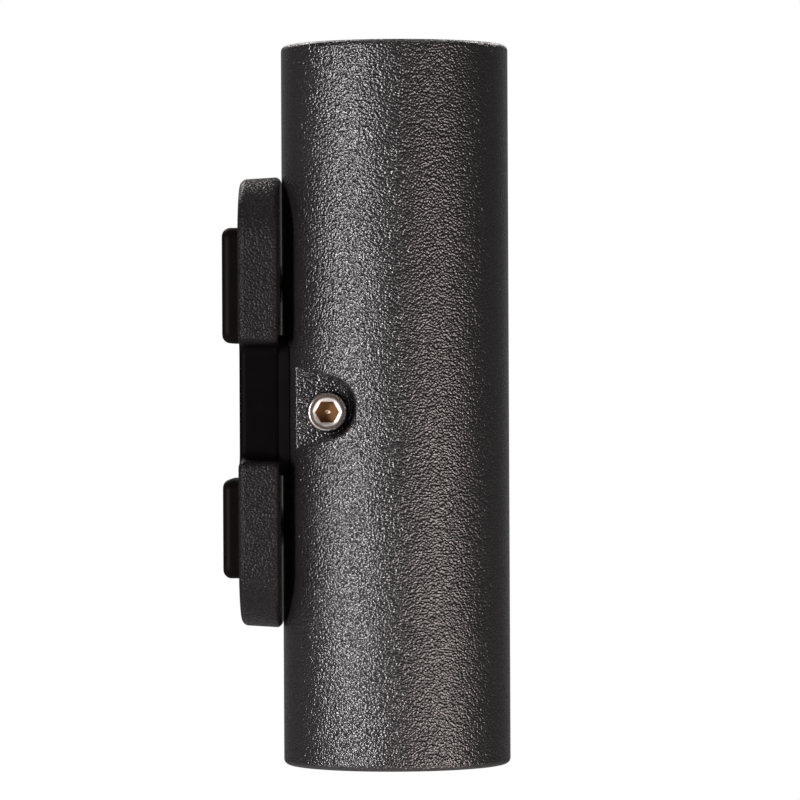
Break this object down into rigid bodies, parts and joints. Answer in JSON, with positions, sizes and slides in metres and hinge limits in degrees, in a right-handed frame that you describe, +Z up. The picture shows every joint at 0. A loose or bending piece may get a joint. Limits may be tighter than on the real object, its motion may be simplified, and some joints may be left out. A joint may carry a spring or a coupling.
{
  "type": "outdoor wall lamp",
  "caption": "Black up-and-down outdoor wall lamp: a textured tube open at both ends, on a two-block wall base, fixed by a socket screw in a pocket on each side.",
  "frame": {"origin": "midway between the two wall screws, on the wall's face", "axes": "+Z up, +Y into the wall, +X to the right as one faces the wall"},
  "size_m": [0.06, 0.0753, 0.19],
  "materials": {
    "powder_coat": "coarse wrinkled black powder coat",
    "foot_rubber": "smooth black rubber",
    "seal_rubber": "matt black rubber",
    "gasket_silicone": "grey silicone",
    "zinc_screw": "zinc plated",
    "zinc_strap": "zinc plated sheet",
    "stainless": "bright turned stainless steel",
    "ceramic": "glazed steatite ceramic",
    "terminal_plastic": "moulded polyamide",
    "brass_screw": "turned brass",
    "tinned_brass": "tinned brass sheet",
    "lead_sleeve": "silicone sleeve",
    "earth_sleeve": "green and yellow sleeve",
    "ring_black": "fine black coat",
    "clear_glass": "clear toughened glass",
    "bulb_shell": "white heat-conducting plastic",
    "bulb_lens": "moulded clear optic",
    "pin_metal": "nickel plated"
  },
  "bodies": {
    "wall_mount": {"wall_base": "powder_coat", "upper_foot": "foot_rubber", "lower_foot": "foot_rubber", "cable_grommet": "seal_rubber", "tongue_seal": "seal_rubber", "base_earth_screw": "zinc_screw"},
    "lamp_head": {"head_housing": "powder_coat", "upper_bracket": "zinc_strap", "lower_bracket": "zinc_strap", "bracket_screws": "zinc_screw", "holder_screws": "zinc_screw", "head_earth_screw": "zinc_screw", "upper_lampholder": "ceramic", "lower_lampholder": "ceramic", "terminal_block": "terminal_plastic", "terminal_screws": "brass_screw", "terminal_fixing_screws": "zinc_screw", "upper_leads": "lead_sleeve", "lower_leads": "lead_sleeve", "earth_lead": "earth_sleeve", "earth_tag": "tinned_brass"},
    "left_seal": {"left_screw_seal": "seal_rubber"},
    "left_screw": {"left_side_screw": "stainless"},
    "right_seal": {"right_screw_seal": "seal_rubber"},
    "right_screw": {"right_side_screw": "stainless"},
    "upper_cover": {"upper_glass": "clear_glass", "upper_gasket": "gasket_silicone"},
    "upper_ring": {"upper_ring": "ring_black"},
    "lower_cover": {"lower_glass": "clear_glass", "lower_gasket": "gasket_silicone"},
    "lower_ring": {"lower_ring": "ring_black"},
    "upper_bulb": {"upper_bulb_body": "bulb_shell", "upper_bulb_lens": "bulb_lens", "upper_bulb_pins": "pin_metal"},
    "lower_bulb": {"lower_bulb_body": "bulb_shell", "lower_bulb_lens": "bulb_lens", "lower_bulb_pins": "pin_metal"}
  },
  "joints": [
    {"name": "head_slide", "type": "slide", "parent": "wall_mount", "child": "lamp_head", "axis": [0, -1, 0], "range_m": [0, 0.02]},
    {"name": "left_screw_travel", "type": "slide", "parent": "lamp_head", "child": "left_seal", "axis": [-1, 0, 0], "range_m": [0, 0.004]},
    {"name": "left_screw_turn", "type": "hinge", "parent": "left_seal", "child": "left_screw", "pos_m": [-0.0195, -0.028, -0.0017], "axis": [-1, 0, 0], "range_deg": [0, 1440]},
    {"name": "right_screw_travel", "type": "slide", "parent": "lamp_head", "child": "right_seal", "axis": [1, 0, 0], "range_m": [0, 0.004]},
    {"name": "right_screw_turn", "type": "hinge", "parent": "right_seal", "child": "right_screw", "pos_m": [0.0195, -0.028, -0.0017], "axis": [1, 0, 0], "range_deg": [0, 1440]},
    {"name": "upper_ring_travel", "type": "slide", "parent": "lamp_head", "child": "upper_cover", "axis": [0, 0, 1], "range_m": [0, 0.006]},
    {"name": "upper_ring_turn", "type": "hinge", "parent": "upper_cover", "child": "upper_ring", "pos_m": [0, -0.0453, 0.0885], "axis": [0, 0, 1], "range_deg": [0, 1440]},
    {"name": "lower_ring_travel", "type": "slide", "parent": "lamp_head", "child": "lower_cover", "axis": [0, 0, -1], "range_m": [0, 0.006]},
    {"name": "lower_ring_turn", "type": "hinge", "parent": "lower_cover", "child": "lower_ring", "pos_m": [0, -0.0453, -0.0885], "axis": [0, 0, -1], "range_deg": [0, 1440]},
    {"name": "upper_bulb_twist", "type": "hinge", "parent": "lamp_head", "child": "upper_bulb", "pos_m": [0, -0.0453, 0.035], "axis": [0, 0, 1], "range_deg": [0, 25]},
    {"name": "lower_bulb_twist", "type": "hinge", "parent": "lamp_head", "child": "lower_bulb", "pos_m": [0, -0.0453, -0.035], "axis": [0, 0, -1], "range_deg": [0, 25]}
  ],
  "couplings": [
    {"joint": "left_screw_turn", "follows": "left_screw_travel", "rad_per_m": 6283.2},
    {"joint": "right_screw_turn", "follows": "right_screw_travel", "rad_per_m": 6283.2},
    {"joint": "upper_ring_travel", "follows": "upper_ring_turn", "m_per_rad": 0.00023873},
    {"joint": "lower_ring_travel", "follows": "lower_ring_turn", "m_per_rad": 0.00023873}
  ]
}
